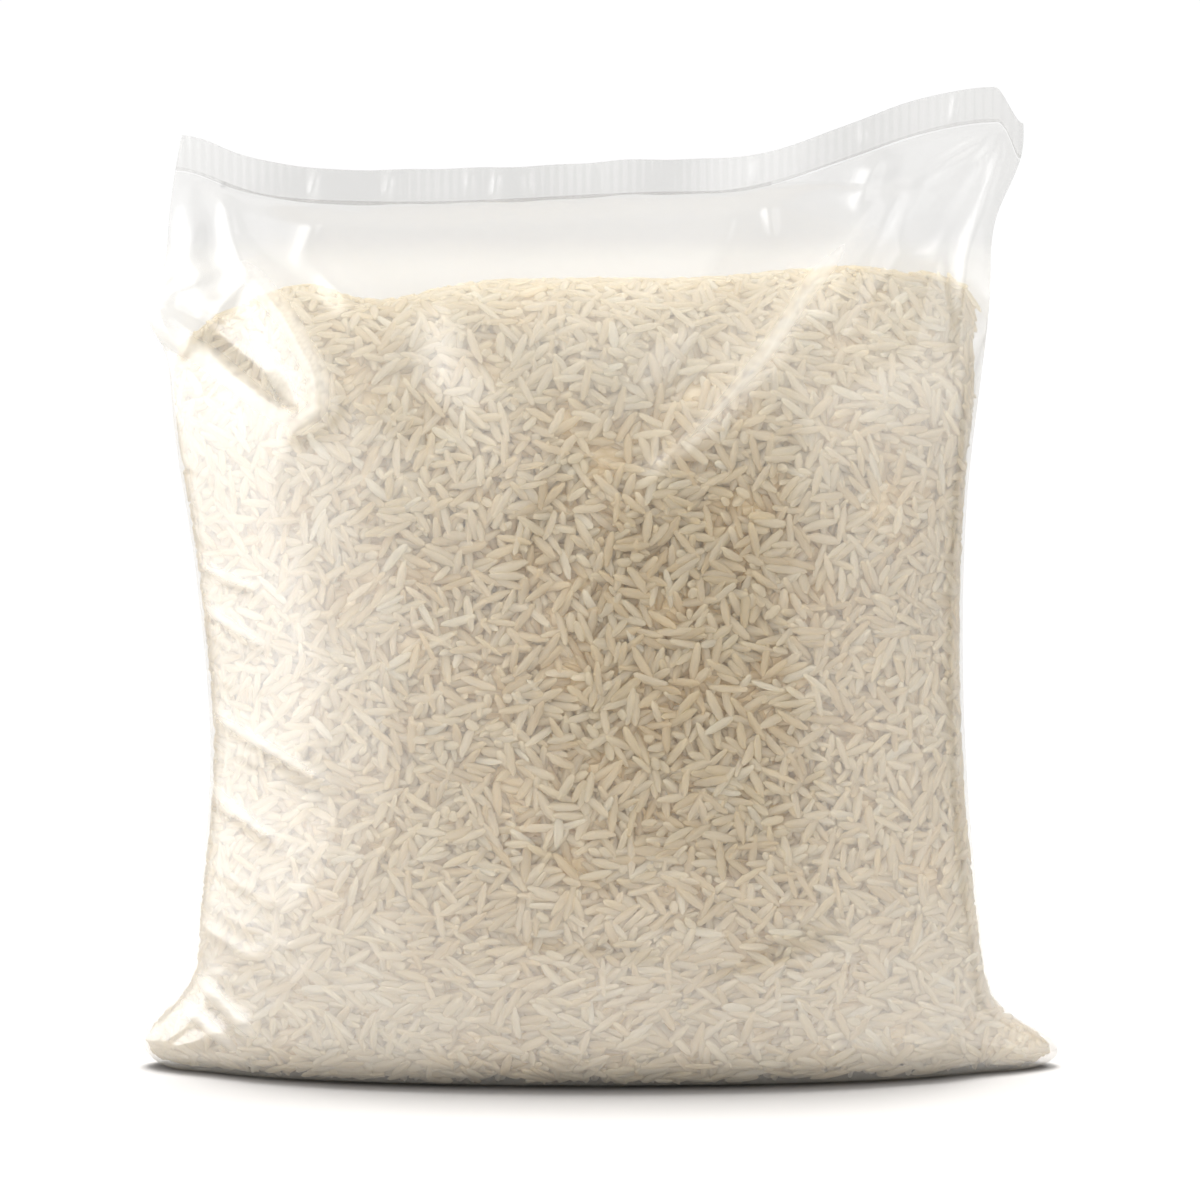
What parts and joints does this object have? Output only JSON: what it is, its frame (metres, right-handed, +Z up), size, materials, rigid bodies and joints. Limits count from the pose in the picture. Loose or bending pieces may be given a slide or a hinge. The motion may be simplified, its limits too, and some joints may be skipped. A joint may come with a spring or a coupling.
{
  "type": "bag of rice",
  "caption": "Clear film pillow bag filled with long-grain white rice, standing on its flattened base, with corner ears and a thin sealed band across the top.",
  "frame": {"origin": "middle of the flat base, on the surface that the bag stands on", "axes": "+Z up, front of the bag towards -Y, +X to the right seen from the front"},
  "size_m": [0.1774, 0.066, 0.1889],
  "materials": {
    "rice": "satin",
    "film": "gloss"
  },
  "bodies": {
    "root": {"filled_bag": "rice"}
  },
  "joints": []
}
